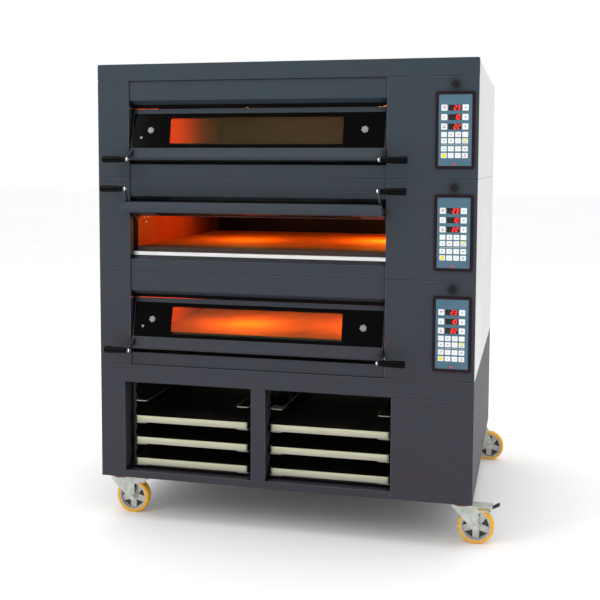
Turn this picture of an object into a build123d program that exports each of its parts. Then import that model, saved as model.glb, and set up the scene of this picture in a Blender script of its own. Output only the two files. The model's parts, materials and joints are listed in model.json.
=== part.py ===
from build123d import *
import os
from math import cos, hypot, radians, sin

# A three-deck electric pizza oven on a rolling stand. Lengths are millimetres, angles degrees.
# X runs left to right seen from the front, Y runs from front to back, Z is up from the floor.

# ---- Overall sizes ----
body_width = 1350
body_depth = 1180
caster_height = 160
stand_height = 420
deck_height = 340
hood_height = 60
handle_reach = 93  # open door's grips ahead of the body
duct_reach = 60  # exhaust spigots behind the body
pedal_reach = 90  # brake pedal past the body's right side
sheet = 2
joint_gap = 0.5  # half the line between two stacked casings
seam_gap = 0.05  # half the play between their folded edges

# ---- The body's faces and levels, with the origin under the middle of the whole outline ----
left = -(body_width + pedal_reach) / 2
right = left + body_width
front = (handle_reach - body_depth - duct_reach) / 2
rear = front + body_depth
stand_z = caster_height
stand_top = stand_z + stand_height
deck_names = ("bottom", "middle", "top")
deck_floors = [stand_top + i * deck_height for i in range(3)]
hood_z = stand_top + 3 * deck_height
hood_top = hood_z + hood_height

# ---- Deck front: door opening on the left, control column on the right ----
opening = (left + 118, left + 1046)
sill_up, lintel_up = 45, 272
sill_rise, lintel_drop, lip_depth = 11, 14, 30
door_recess = 4  # lintel and sill behind the columns
return_depth = 36
flange = 12
side_inset = 3

# ---- Chamber ----
wall = 1.5
mouth_thick = 3
chamber_x = (opening[0] + mouth_thick, opening[1] - mouth_thick)
chamber_y = (front + 70.5, front + 975)
chamber_floor_up, chamber_roof_up = 62, 262
threshold_up = 71
hearth_y = (front + 60, front + 973)
hearth_up = (62, 86)
insulation_right = left + 1100
lamp_y, lamp_up, lamp_radius = front + 200, 170, 27
element_radius = 4
element_ups = (50, 252)
element_pitch, element_gap, element_first = 290, 60, 180

# ---- Door, drawn closed about its hinge axis: u points to the rear, v points up ----
hinge_y, hinge_up = front + 57, 192
door_open_angle = 86
door_x = (opening[0] + 4.5, opening[1] - 4.5)
cheek = 3
pin_radius, pin_length, pin_fit = 6, 12, 0.05
glass_top, glass_foot = (-21, 34), (-52, -88)
roof_front, roof_rear = (-19, 51), (-4, 48)
skin_top, skin_foot = (-3, 34), (-31, -88)
hinge_lug = ((-21.8, -48), (3, -14), (11, -8), (13, 1), (9, 10), (-4.8, 26))
baffle_up = 245  # foot of the strip that closes the gap above the door
rail_nose, rail_lip, rail_belly, rail_heel = (-72, -118), (-68, -129.5), (-52, -134), (-35.5, -130)
window_x = (left + 268, left + 894)
window_span = (0.115, 0.893)
grip_axis = (-117, -129)
grip_radii, grip_length = (9, 13), 88
arm_insets, arm_thick = (8, 5), 5

# ---- Controls ----
keypad_x, keypad_up = left + 1273, 162
bezel_size, face_size, bezel_proud = (126, 252), (110, 236), 4
key_columns = (-36, -13, 10, 33)
key_rows = (-14, -35, -61, -83)
display_rows = (74, 43, 12)
key_size, display_size = (19, 17), (42, 19)
damper_up = 313
knob_radius, rod_radius = 11, 4
vent_x, vent_y = left + 1000, front + 500
duct_up, duct_radius, spigot_flange = 300, 30, 42
gland_up, gland_radius, gland_bore = 60, 12, 9

# ---- Stand ----
bays = ((left + 93, left + 572), (left + 623, left + 1070))
bay_up = (25, 355)
frame_depth = 62
tube = 30
cabinet_x = left + 1070
partition_x = left + 1096

# ---- Trays on wire ledges ----
tray_width, tray_length, tray_height, tray_wall = 435, 600, 24, 1.5
tray_corner, tray_bead = 14, 4
tray_y = front + 40
ledge_radius = 2.5
ledge_ups = (36, 115, 195, 277)
ledge_reach = (-0.8, 45)  # either side of the tray's long edge
tray_lift = 0.3
upright_y = (front + 66, front + 620)
tooth_pitch = 40

# ---- Casters, trailing to the right ----
swivel_inset_x, swivel_inset_y = 39, 92
trail = 48
wheel_radius, wheel_width = 62.5, 35
hub_radius, bolt_radius = 52, 6
fork_half, fork_plate = 21.5, 3
crown_up = 73.5  # crown's top above the axle
axle_z = wheel_radius
pedal_pivot, pedal_tip = (47, 61), (80.2, 79)
pedal_thick, pedal_width = 3.5, 30

os.makedirs("parts", exist_ok=True)


def save(part, name):
    """Labels a finished piece and writes it to its own file."""
    part.label = name
    export_step(part, f"parts/{name}.step")


def block(x, y, z, mode=Mode.ADD):
    """A box between three (low, high) pairs, in the sub-part being built."""
    with BuildSketch(Plane.XY.offset(z[0])) as base:
        with Locations(((x[0] + x[1]) / 2, (y[0] + y[1]) / 2)):
            Rectangle(x[1] - x[0], y[1] - y[0])
    extrude(base.sketch, amount=z[1] - z[0], mode=mode)


def panel(x, z, mode=Mode.ADD):
    """A rectangle between two (low, high) pairs, in the front-facing sketch being drawn."""
    with Locations(((x[0] + x[1]) / 2, (z[0] + z[1]) / 2)):
        Rectangle(x[1] - x[0], z[1] - z[0], mode=mode)


def facing(y):
    """The vertical plane at depth y that faces the front."""
    return Plane(origin=(0, y, 0), x_dir=(1, 0, 0), z_dir=(0, -1, 0))


def bar(points, x, mode=Mode.ADD):
    """A bar along X whose side outline is the polygon of (y, z) points."""
    with BuildSketch(Plane.YZ.offset(x[0])) as outline:
        Polygon(*points, align=None)
    extrude(outline.sketch, amount=x[1] - x[0], mode=mode)


def rod(start, direction, radius, length, mode=Mode.ADD):
    """A round rod from start along direction."""
    with BuildSketch(Plane(origin=start, z_dir=direction)) as section:
        Circle(radius)
    extrude(section.sketch, amount=length, mode=mode)


def between(a, b, share):
    """The point that lies a share of the way from a to b."""
    return (a[0] + (b[0] - a[0]) * share, a[1] + (b[1] - a[1]) * share)


def moved(point, step, distance):
    """A 2D point moved along the 2D direction step."""
    return (point[0] + step[0] * distance, point[1] + step[1] * distance)


# ======================= Stand =======================

with BuildPart() as stand_frame:
    # Welded square tube: four corner posts, a bottom ring with two cross tubes and a top ring.
    post_x = (left + side_inset, right - side_inset - tube)
    post_y = (front + frame_depth + 2, rear - sheet - 2 - tube)
    low_z, high_z = stand_z, stand_top - 3
    for wall_in in (0, sheet):
        mode = Mode.SUBTRACT if wall_in else Mode.ADD
        width = tube - wall_in
        for x in post_x:
            for y in post_y:
                block((x + wall_in, x + width), (y + wall_in, y + width),
                      (low_z + wall_in, high_z + wall_in), mode)
        for z in (low_z, high_z - tube):
            for y in post_y:
                block((post_x[0] + wall_in, post_x[1] + width), (y + wall_in, y + width),
                      (z + wall_in, z + width), mode)
            for x in (*post_x, bays[0][1] + 10, cabinet_x + 26):
                block((x + wall_in, x + width), (post_y[0] + wall_in, post_y[1] + width),
                      (z + wall_in, z + width), mode)
save(stand_frame.part, "stand_frame")


def stand_front_outline():
    """The painted front: columns, middle post, bottom rail and top band, in the sketch being drawn."""
    panel((left, right), (stand_z, stand_top - joint_gap))
    for bay in bays:
        panel(bay, (stand_z + bay_up[0], stand_z + bay_up[1]), mode=Mode.SUBTRACT)
    panel((cabinet_x, right + 1), (stand_z - 1, stand_z + bay_up[1]), mode=Mode.SUBTRACT)


with BuildPart() as stand_front:
    # One folded sheet, open at the back, and beside it the cabinet's own folded panel.
    with BuildSketch(facing(front)):
        stand_front_outline()
    extrude(amount=-frame_depth)
    with BuildSketch(facing(front + sheet)):
        stand_front_outline()
        offset(amount=-sheet, kind=Kind.INTERSECTION, mode=Mode.REPLACE)
    extrude(amount=-frame_depth, mode=Mode.SUBTRACT)
    cabinet = (cabinet_x + 1, right)
    cabinet_z = (stand_z, stand_z + bay_up[1] - 1)
    block(cabinet, (front, front + frame_depth), cabinet_z)
    block((cabinet[0] + sheet, cabinet[1] - sheet), (front + sheet, front + frame_depth + 1),
          (cabinet_z[0] + sheet, cabinet_z[1] - sheet), Mode.SUBTRACT)
save(stand_front.part, "stand_front_panels")

with BuildPart() as stand_panels:
    # Two outer sides, the wall beside the cabinet and the floor under the trays.
    side_y = (front + frame_depth + joint_gap, rear - sheet - joint_gap)
    side_z = (stand_z, stand_top - joint_gap)
    block((left, left + sheet), side_y, side_z)
    block((right - sheet, right), side_y, side_z)
    block((partition_x + tube + 2, partition_x + tube + 2 + sheet), (post_y[0] + tube + 2, post_y[1] - 2),
          (stand_z + 1, stand_top - 4))
    block((post_x[0] + tube + 1, cabinet_x + 25), (post_y[0] + tube + 1, post_y[1] - 1),
          (stand_z + 1, stand_z + 1 + sheet))
    block((bays[0][1] + 9, bays[0][1] + 11 + tube), side_y, (stand_z, stand_z + tube + 1), Mode.SUBTRACT)
save(stand_panels.part, "stand_panels")

with BuildPart() as rear_panels:
    # One back sheet for the stand and one for each deck, with holes for the duct and the cable gland.
    for low, high in ((stand_z, stand_top), *((z, z + deck_height) for z in deck_floors)):
        block((left, right), (rear - sheet, rear), (low + joint_gap, high - joint_gap))
    for z in deck_floors:
        rod((vent_x, rear - sheet - 1, z + duct_up), (0, 1, 0), duct_radius, sheet + 2, Mode.SUBTRACT)
        rod((keypad_x, rear - sheet - 1, z + gland_up), (0, 1, 0), gland_radius + 0.5, sheet + 2,
            Mode.SUBTRACT)
save(rear_panels.part, "rear_panels")

# ---- Tray racks ----


def bay_tray_edges(bay):
    """The left and right edges of the trays that stand in a bay."""
    middle = (bay[0] + bay[1]) / 2
    return middle - tray_width / 2, middle + tray_width / 2


def rack_sides():
    """Each side of each bay: the tray's edge there, and +1 where the bay is to its right."""
    for bay in bays:
        tray_left, tray_right = bay_tray_edges(bay)
        yield tray_left, 1
        yield tray_right, -1


with BuildPart() as rack_uprights:
    # Flat bars with a saw-tooth edge towards the bay, two on each side of each bay.
    for edge, inward in rack_sides():
        for y in upright_y:
            spine, root, tip = edge - 16.5 * inward, edge - 10 * inward, edge - 3.5 * inward
            with BuildSketch(facing(y)):
                with BuildLine():
                    foot, head = stand_z + tube + 1, stand_z + tube + 1 + 8 * tooth_pitch
                    teeth = [(spine, foot), (root, foot)]
                    for i in range(8):
                        level = foot + i * tooth_pitch
                        teeth += [(tip, level + tooth_pitch * 0.45), (tip, level + tooth_pitch * 0.65),
                                  (root, level + tooth_pitch)]
                    teeth += [(spine, head), (spine, foot)]
                    Polyline(*teeth)
                make_face()
            extrude(amount=-3)
save(rack_uprights.part, "rack_uprights")

with BuildPart() as rack_ledges:
    # Bent wire ledges, four levels on each side of each bay, with their long run under the tray.
    for edge, inward in rack_sides():
        for up in ledge_ups:
            outer, inner = edge + ledge_reach[0] * inward, edge + ledge_reach[1] * inward
            near, far = tray_y + 4, upright_y[1] + 30
            with BuildLine(Plane.XY.offset(stand_z + up)) as route:
                FilletPolyline((outer, near + 40), (outer, near), (inner, near), (inner, far),
                               (outer, far), (outer, far - 40), radius=8)
            with BuildSketch(Plane(origin=(outer, near + 40, stand_z + up), z_dir=(0, -1, 0))):
                Circle(ledge_radius)
            sweep(path=route.line)
save(rack_ledges.part, "rack_ledges")


def tray(bay, up):
    """A folded-rim baking tray standing on the ledges at height up in a bay."""
    middle = ((bay[0] + bay[1]) / 2, tray_y + tray_length / 2)
    floor = stand_z + up + ledge_radius + tray_lift
    with BuildPart() as pan:
        with BuildSketch(Plane.XY.offset(floor)):
            with Locations(middle):
                RectangleRounded(tray_width, tray_length, tray_corner)
        extrude(amount=tray_height)
        with BuildSketch(Plane.XY.offset(floor + tray_wall)):
            with Locations(middle):
                RectangleRounded(tray_width - 2 * tray_wall, tray_length - 2 * tray_wall,
                                 tray_corner - tray_wall)
        extrude(amount=tray_height, mode=Mode.SUBTRACT)
        # A bead along the top edge stiffens the rim.
        with BuildSketch(Plane.XY.offset(floor + tray_height - tray_bead)):
            with Locations(middle):
                RectangleRounded(tray_width, tray_length, tray_corner)
                RectangleRounded(tray_width - 2 * tray_bead, tray_length - 2 * tray_bead,
                                 tray_corner - tray_bead, mode=Mode.SUBTRACT)
        extrude(amount=tray_bead)
    return pan.part


for side, bay in zip(("left", "right"), bays):
    for number, up in enumerate(ledge_ups[2::-1], start=1):
        save(tray(bay, up), f"tray_{side}_{number}")

# ======================= Casters =======================

caster_places = {
    "front_left": (left + swivel_inset_x, front + swivel_inset_y),
    "front_right": (right - swivel_inset_x, front + swivel_inset_y),
    "rear_left": (left + swivel_inset_x, rear - swivel_inset_y),
    "rear_right": (right - swivel_inset_x, rear - swivel_inset_y),
}
crown_z = axle_z + crown_up
ring_z = (crown_z + 0.4, crown_z + 7)
plate_z = (stand_z - 5, stand_z)

with BuildPart() as caster_plates:
    # Top plate, race cup, king pin and nut, with four bolt heads under each plate.
    for x, y in caster_places.values():
        block((x - 38, x + 38), (y - 50, y + 50), plate_z)
        rod((x, y, ring_z[1]), (0, 0, 1), 32, plate_z[0] - ring_z[1])
        rod((x, y, crown_z - 9), (0, 0, 1), 8, plate_z[0] - crown_z + 9)
        rod((x, y, crown_z - 9), (0, 0, 1), 11, 4.5)
        with BuildSketch(Plane.XY.offset(plate_z[0] - 5)):
            with Locations((x, y)):
                with GridLocations(60, 80, 2, 2):
                    RegularPolygon(6.5, 6)
        extrude(amount=5)
save(caster_plates.part, "caster_plates")

with BuildPart() as seal_rings:
    for x, y in caster_places.values():
        with BuildSketch(Plane.XY.offset(ring_z[0])):
            with Locations((x, y)):
                Circle(30)
                Circle(12, mode=Mode.SUBTRACT)
        extrude(amount=ring_z[1] - ring_z[0] - 0.2)
save(seal_rings.part, "caster_seal_rings")


def caster_fork(x, y, housed, braked):
    """A pressed fork under the crown with its axle bolt, and on a front wheel the brake housing."""
    axle_x = x + trail
    reach = 56 if housed else -8
    with BuildPart() as fork:
        with BuildSketch(Plane.XY.offset(crown_z - 4)):
            with Locations((x, y)):
                Circle(36)
            with Locations(((x - 30 + axle_x + reach) / 2, y)):
                Rectangle(axle_x + reach - x + 30, 2 * (fork_half + fork_plate))
        extrude(amount=4)
        for side in (-1, 1):
            inner = y + side * fork_half
            with BuildSketch(facing(inner)):
                with BuildLine():
                    shoulder = (axle_x - trail - 34, crown_z)
                    Line(shoulder, (shoulder[0], crown_z - 8))
                    Line((shoulder[0], crown_z - 8), (axle_x - 10, axle_z - 9.8))
                    ThreePointArc((axle_x - 10, axle_z - 9.8), (axle_x, axle_z - 14),
                                  (axle_x + 10, axle_z - 9.8))
                    if housed:
                        Polyline((axle_x + 10, axle_z - 9.8), (axle_x + 10, axle_z + 46),
                                 (axle_x + 16, axle_z + 52), (axle_x + 50, axle_z + 55),
                                 (axle_x + reach, axle_z + 63), (axle_x + reach, crown_z), shoulder)
                    else:
                        Polyline((axle_x + 10, axle_z - 9.8), (axle_x + 10, axle_z + 30),
                                 (axle_x - 4, axle_z + 62), (axle_x + reach, crown_z), shoulder)
                make_face()
                with Locations((axle_x, axle_z)):
                    Circle(bolt_radius + 0.1, mode=Mode.SUBTRACT)
            extrude(amount=-side * fork_plate)
        rod((x, y, crown_z - 5), (0, 0, 1), 8 + pin_fit, 6, Mode.SUBTRACT)
        if braked:
            # The pedal's pivot holes.
            for side in (-1, 1):
                rod((axle_x + pedal_pivot[0], y + side * fork_half, axle_z + pedal_pivot[1]), (0, side, 0),
                    3 + pin_fit, fork_plate, Mode.SUBTRACT)
        # Axle bolt with a head on the near side and a nut on the far side.
        bolt_reach = fork_half + fork_plate
        rod((axle_x, y - bolt_reach, axle_z), (0, 1, 0), bolt_radius, 2 * bolt_reach)
        for side in (-1, 1):
            head = (axle_x, y + side * (bolt_reach + 0.2), axle_z)
            with BuildSketch(Plane(origin=head, z_dir=(0, side, 0))):
                RegularPolygon(10, 6)
            extrude(amount=5)
            rod((axle_x, y + side * bolt_reach, axle_z), (0, side, 0), bolt_radius, 2)
    return fork.part


def caster_hub(x, y):
    """An aluminium wheel centre with a rim, a boss and five spokes."""
    axle_x = x + trail
    plane = facing(y - wheel_width / 2 + 1)
    width = wheel_width - 2
    with BuildPart() as hub:
        with BuildSketch(plane):
            with Locations((axle_x, axle_z)):
                Circle(hub_radius)
        extrude(amount=-width)
        for face_y, direction in ((y - wheel_width / 2 + 1, -1), (y + wheel_width / 2 - 1, 1)):
            with BuildSketch(facing(face_y)):
                with Locations((axle_x, axle_z)):
                    Circle(hub_radius - 5)
                    Circle(17, mode=Mode.SUBTRACT)
            extrude(amount=direction * (width / 2 - 6), mode=Mode.SUBTRACT)
        with BuildSketch(plane):
            with Locations((axle_x, axle_z)):
                with PolarLocations(0, 5, start_angle=18):
                    Polygon((20, 0), (43, -17), (43, 17), align=None)
        extrude(amount=-width, mode=Mode.SUBTRACT)
        rod((axle_x, y - wheel_width / 2 - 2.5, axle_z), (0, 1, 0), 13, wheel_width + 5)
        rod((axle_x, y - wheel_width, axle_z), (0, 1, 0), bolt_radius + pin_fit, 2 * wheel_width,
            Mode.SUBTRACT)
    return hub.part


def caster_tread(x, y):
    """The polyurethane tyre bonded round the wheel centre, with rounded shoulders."""
    with BuildPart() as tread:
        with BuildSketch(facing(y - wheel_width / 2)):
            with Locations((x + trail, axle_z)):
                Circle(wheel_radius)
        extrude(amount=-wheel_width)
        fillet(tread.edges().filter_by(GeomType.CIRCLE), radius=5)
        rod((x + trail, y - wheel_width, axle_z), (0, 1, 0), hub_radius, 2 * wheel_width, Mode.SUBTRACT)
    return tread.part


for place, (x, y) in caster_places.items():
    save(caster_fork(x, y, place.startswith("front"), place == "front_right"), f"caster_{place}_fork")
    save(caster_hub(x, y), f"caster_{place}_hub")
    save(caster_tread(x, y), f"caster_{place}_tread")

with BuildPart() as pedal:
    # Brake lever with its pivot pin in the housing of the front right caster.
    x, y = caster_places["front_right"]
    pivot = (x + trail + pedal_pivot[0], y, axle_z + pedal_pivot[1])
    run = (pedal_tip[0] - pedal_pivot[0], pedal_tip[1] - pedal_pivot[1])
    with BuildSketch(Plane(origin=pivot, x_dir=(run[0], 0, run[1]), z_dir=(0, -1, 0))):
        with Locations((hypot(*run) / 2, 0)):
            Rectangle(hypot(*run), pedal_thick)
        Circle(4.5)
    extrude(amount=pedal_width / 2, both=True)
    pin_half = fork_half + fork_plate - 0.5
    rod((pivot[0], y - pin_half, pivot[2]), (0, 1, 0), 3, 2 * pin_half)
save(pedal.part, "caster_front_right_pedal")

# ======================= Deck casings =======================


def edge_levels(z):
    """Low and high level of a casing's bottom and top folded edges."""
    top = z + deck_height - seam_gap
    return (z + seam_gap, z + seam_gap + sheet), (top - sheet, top)


def deck_front(z):
    """The sheets left of the controls: a column, and set back beside it the lintel and the sill."""
    span = (z + joint_gap, z + deck_height - joint_gap)
    block((left, opening[0]), (front, front + sheet), span)
    block((opening[0] - sheet, opening[0]), (front, front + return_depth), span)
    block((left + side_inset, left + side_inset + sheet), (front, front + flange), span)
    x = (opening[0] - sheet / 2, opening[1] - joint_gap)
    face_y, lip_y = front + door_recess, front + lip_depth
    block(x, (face_y, face_y + sheet), (z + lintel_up, span[1]))
    block(x, (face_y, face_y + sheet), (span[0], z + sill_up))
    for level in edge_levels(z):
        block((left + joint_gap, opening[0]), (front + sheet / 2, front + sheet), level)
        block((left + side_inset, opening[0]), (front + sheet / 2, front + flange), level)
        block(x, (face_y + sheet / 2, face_y + flange), level)
    bar([(face_y, z + lintel_up), (lip_y, z + lintel_up - lintel_drop),
         (lip_y, z + lintel_up - lintel_drop + sheet), (face_y, z + lintel_up + sheet)], x)
    bar([(face_y, z + sill_up), (lip_y, z + sill_up + sill_rise),
         (lip_y, z + sill_up + sill_rise - sheet), (face_y, z + sill_up - sheet)], x)


with BuildPart() as deck_fronts:
    for z in deck_floors:
        deck_front(z)
save(deck_fronts.part, "deck_front_frames")

with BuildPart() as control_panels:
    # The column right of the door, with the keypad's cut-out and the damper rod's hole.
    for z in deck_floors:
        x = (opening[1] + joint_gap, right)
        span = (z + joint_gap, z + deck_height - joint_gap)
        block(x, (front, front + sheet), span)
        block((x[0], x[0] + sheet), (front, front + return_depth), span)
        block((x[1] - side_inset - sheet, x[1] - side_inset), (front, front + flange), span)
        for level in edge_levels(z):
            block((x[0], x[1] - joint_gap), (front + sheet / 2, front + sheet), level)
            block((x[0], x[1] - side_inset), (front + sheet / 2, front + flange), level)
        with BuildSketch(facing(front - 1)):
            with Locations((keypad_x, z + keypad_up)):
                Rectangle(face_size[0] - 4, face_size[1] - 4)
            with Locations((keypad_x, z + damper_up)):
                Circle(rod_radius + 0.5)
        extrude(amount=-(sheet + 2), mode=Mode.SUBTRACT)
save(control_panels.part, "control_panels")

screw_ups = (40, 300)
screw_ys = (front + 30, rear - 60)

with BuildPart() as deck_shells:
    # Left side, right side and base pan of each deck. The sides have seats for flush screws.
    for z in deck_floors:
        span = (z + joint_gap, z + deck_height - joint_gap)
        y = (front + sheet + joint_gap, rear - sheet - joint_gap)
        for x, out in ((left, -1), (right - sheet, 1)):
            block((x, x + sheet), y, span)
            for up in screw_ups:
                for screw_y in screw_ys:
                    rod((x + sheet / 2 - out * 2, screw_y, z + up), (out, 0, 0), 4.3, 4, Mode.SUBTRACT)
        block((left + sheet + 1, right - sheet - 1), (front + return_depth + 1, y[1] - 1),
              (z + 1, z + 1 + sheet))
save(deck_shells.part, "deck_shells")

with BuildPart() as casing_screws:
    # Flush screws in the side panels, and a rosette of four round heads on each chamber wall.
    for z in deck_floors:
        for x, out in ((left, -1), (right, 1)):
            for up in screw_ups:
                for screw_y in screw_ys:
                    start = (x - out * 7, screw_y, z + up)
                    rod(start, (out, 0, 0), 2, 6)
                    rod((x - out * 1.8, screw_y, z + up), (out, 0, 0), 4, 1.6)
        with BuildSketch(Plane.YZ.offset(chamber_x[0])):
            with Locations((front + 144, z + 190)):
                with PolarLocations(18.5, 4):
                    Circle(3.6)
        extrude(amount=2.8)
save(casing_screws.part, "casing_screws")

with BuildPart() as hood_fascia:
    # Front board of the hood, with rounded top corners and a shallow folded back.
    with BuildSketch(facing(front)) as board:
        panel((left, right), (hood_z + joint_gap, hood_top))
        fillet(board.vertices().group_by(Axis.Z)[-1], radius=6)
    extrude(amount=-14)
    with BuildSketch(facing(front + sheet)):
        panel((left + sheet, right - sheet), (hood_z + joint_gap + sheet, hood_top - sheet))
    extrude(amount=-14, mode=Mode.SUBTRACT)
    block((left + 1, right - 1), (front + sheet / 2, front + 14),
          (hood_z + seam_gap, hood_z + joint_gap + sheet))
save(hood_fascia.part, "hood_fascia")

with BuildPart() as hood_cover:
    # Light lid over the top deck, open underneath, standing slightly inside the sides.
    x, y = (left + 1, right - 1), (front + 14 + joint_gap, rear - 1)
    block(x, y, (hood_z + joint_gap, hood_top - 1))
    fillet(hood_cover.edges().filter_by(Axis.Y).group_by(Axis.Z)[-1], radius=9)
    block((x[0] + sheet, x[1] - sheet), (y[0] + sheet, y[1] - sheet),
          (hood_z, hood_top - 1 - sheet), Mode.SUBTRACT)
save(hood_cover.part, "hood_cover")

# ======================= Chambers =======================


def element_ys():
    """Depths of the element legs, in pairs that one hairpin joins."""
    nears = [front + element_first + i * element_pitch for i in range(3)]
    return [(near, near + element_gap) for near in nears]


with BuildPart() as mouth_frames:
    # Stainless surround of each chamber mouth, with bushes for the door's pins and a baffle above the door.
    for z in deck_floors:
        y = (front + lip_depth + 1, chamber_y[0] - 0.5)
        outer = (opening[0], opening[1])
        for x, out in ((outer[0], -1), (outer[1] - mouth_thick, 1)):
            block((x, x + mouth_thick), (front + return_depth + 0.5, y[1]),
                  (z + 60, z + chamber_roof_up + wall))
            rod((x + mouth_thick / 2, hinge_y, z + hinge_up), (out, 0, 0), 11, 10)
            rod((x + mouth_thick / 2 - 3 * out, hinge_y, z + hinge_up), (out, 0, 0), pin_radius + pin_fit,
                20, Mode.SUBTRACT)
        block((outer[0], outer[1]), (front + return_depth + 0.5, y[1]),
              (z + chamber_roof_up, z + chamber_roof_up + wall))
        block((outer[0], outer[1]), (front + return_depth + 0.5, y[1]), (z + 60, z + 60 + wall))
        block((outer[0], outer[1]), (front + return_depth + 0.5, front + return_depth + 2),
              (z + baffle_up, z + chamber_roof_up + wall))
        block((outer[0] + 1, outer[1] - 1), (y[0], hearth_y[0] - 1),
              (z + threshold_up - wall, z + threshold_up))
        block((outer[0] + 1, outer[1] - 1), (y[0], y[0] + wall), (z + 58, z + threshold_up))
save(mouth_frames.part, "mouth_frames")

with BuildPart() as liners:
    # Baking chamber boxes, open to the front, pierced for the lamp, the elements and the vent.
    for z in deck_floors:
        block((chamber_x[0] - wall, chamber_x[1] + wall), (chamber_y[0], chamber_y[1] + wall),
              (z + chamber_floor_up - wall, z + chamber_roof_up + wall))
        block(chamber_x, (chamber_y[0] - 1, chamber_y[1]), (z + chamber_floor_up, z + chamber_roof_up),
              Mode.SUBTRACT)
        rod((chamber_x[1] - 2, lamp_y, z + lamp_up), (1, 0, 0), lamp_radius + 1, 6, Mode.SUBTRACT)
        rod((vent_x, vent_y, z + chamber_roof_up - 1), (0, 0, 1), 20, 5, Mode.SUBTRACT)
        for pair in element_ys():
            for leg_y in pair:
                rod((chamber_x[1] - 2, leg_y, z + element_ups[1]), (1, 0, 0), element_radius + 1, 6,
                    Mode.SUBTRACT)
save(liners.part, "chamber_liners")

with BuildPart() as hearths:
    # Two refractory slabs side by side on each chamber floor.
    middle = (chamber_x[0] + chamber_x[1]) / 2
    for z in deck_floors:
        for x in ((chamber_x[0] + 2, middle - 0.75), (middle + 0.75, chamber_x[1] - 2)):
            block(x, hearth_y, (z + hearth_up[0], z + hearth_up[1]))
save(hearths.part, "hearth_stones")

with BuildPart() as insulation:
    # Mineral wool round each liner, cut out for the elements, the lamp, the vent and its slide.
    for z in deck_floors:
        block((left + 6, insulation_right), (front + 72, front + 1100), (z + 5, z + deck_height - 5))
        block((chamber_x[0] - wall - 0.5, chamber_x[1] + wall + 0.5), (front + 71, chamber_y[1] + wall + 0.5),
              (z + 38, z + chamber_roof_up + wall + 0.5), Mode.SUBTRACT)
        rod((chamber_x[1], lamp_y, z + lamp_up), (1, 0, 0), lamp_radius + 3, 80, Mode.SUBTRACT)
        rod((vent_x, vent_y - 40, z + duct_up), (0, 1, 0), duct_radius + 1, 700, Mode.SUBTRACT)
        rod((vent_x, vent_y, z + chamber_roof_up), (0, 0, 1), 26, 30, Mode.SUBTRACT)
        block((vent_x - 40, insulation_right + 1), (vent_y - 95, vent_y + 40),
              (z + chamber_roof_up + wall, z + chamber_roof_up + 8), Mode.SUBTRACT)
        for pair in element_ys():
            for leg_y in pair:
                for up in element_ups:
                    rod((chamber_x[1], leg_y, z + up), (1, 0, 0), element_radius + 1, 80, Mode.SUBTRACT)
save(insulation.part, "chamber_insulation")

with BuildPart() as elements:
    # Hairpin heating elements, three under the roof and three under the floor of each chamber.
    for z in deck_floors:
        for up in element_ups:
            for near, far in element_ys():
                bend, tail = chamber_x[0] + 60, insulation_right + 12
                with BuildLine(Plane.XY.offset(z + up)) as hairpin:
                    Line((tail, near), (bend, near))
                    ThreePointArc((bend, near), (bend - element_gap / 2, (near + far) / 2), (bend, far))
                    Line((bend, far), (tail, far))
                with BuildSketch(Plane(origin=(tail, near, z + up), z_dir=(-1, 0, 0))):
                    Circle(element_radius)
                sweep(path=hairpin.line)
save(elements.part, "heating_elements")

with BuildPart() as lamps:
    # Halogen lamp housings in the right wall, each with a low glass dome towards the chamber.
    for z in deck_floors:
        rod((chamber_x[1] - 1, lamp_y, z + lamp_up), (1, 0, 0), lamp_radius, 40)
        rod((chamber_x[1] - 4, lamp_y, z + lamp_up), (1, 0, 0), lamp_radius - 4, 4)
save(lamps.part, "oven_lamps")

with BuildPart() as ducts:
    # Exhaust of each deck: a collar over the vent, a round duct to the back, and a flanged spigot there.
    for z in deck_floors:
        start = (vent_x, vent_y - 36, z + duct_up)
        rod(start, (0, 1, 0), duct_radius - 2, rear + 1 - start[1])
        rod((vent_x, rear + 0.2, z + duct_up), (0, 1, 0), spigot_flange, wall)
        rod((vent_x, rear + 0.2, z + duct_up), (0, 1, 0), duct_radius, duct_reach - 0.2)
        rod((vent_x, vent_y, z + chamber_roof_up + 7), (0, 0, 1), 24, 15)
        rod((vent_x, start[1] + wall, z + duct_up), (0, 1, 0), duct_radius - 2 - wall,
            rear + duct_reach - start[1], Mode.SUBTRACT)
        rod((vent_x, vent_y, z + chamber_roof_up + 6), (0, 0, 1), 22, 20, Mode.SUBTRACT)
save(ducts.part, "exhaust_ducts")


def damper_knob(z):
    """The pull knob, its rod, and the slide that covers the vent in the chamber roof."""
    with BuildPart() as damper:
        slide_z = z + chamber_roof_up + wall + 1
        rod((keypad_x, front - 12, z + damper_up), (0, 1, 0), rod_radius, vent_y + 30 - front + 12)
        with BuildSketch(facing(front - 12)):
            with Locations((keypad_x, z + damper_up)):
                Circle(knob_radius)
        extrude(amount=16)
        fillet(damper.edges().filter_by(GeomType.CIRCLE).sort_by(Axis.Y)[0], radius=5)
        block((keypad_x - 6, keypad_x + 6), (vent_y + 24, vent_y + 30), (slide_z, z + damper_up))
        block((vent_x - 32, keypad_x + 6), (vent_y - 30, vent_y + 30), (slide_z, slide_z + 2))
    return damper.part


for name, z in zip(deck_names, deck_floors):
    save(damper_knob(z), f"{name}_damper_knob")

# ======================= Controls and services =======================

with BuildPart() as bezels:
    for z in deck_floors:
        with BuildSketch(facing(front)) as outline:
            with Locations((keypad_x, z + keypad_up)):
                RectangleRounded(*bezel_size, radius=4)
                Rectangle(*face_size, mode=Mode.SUBTRACT)
        extrude(amount=bezel_proud)
save(bezels.part, "keypad_bezels")

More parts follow.
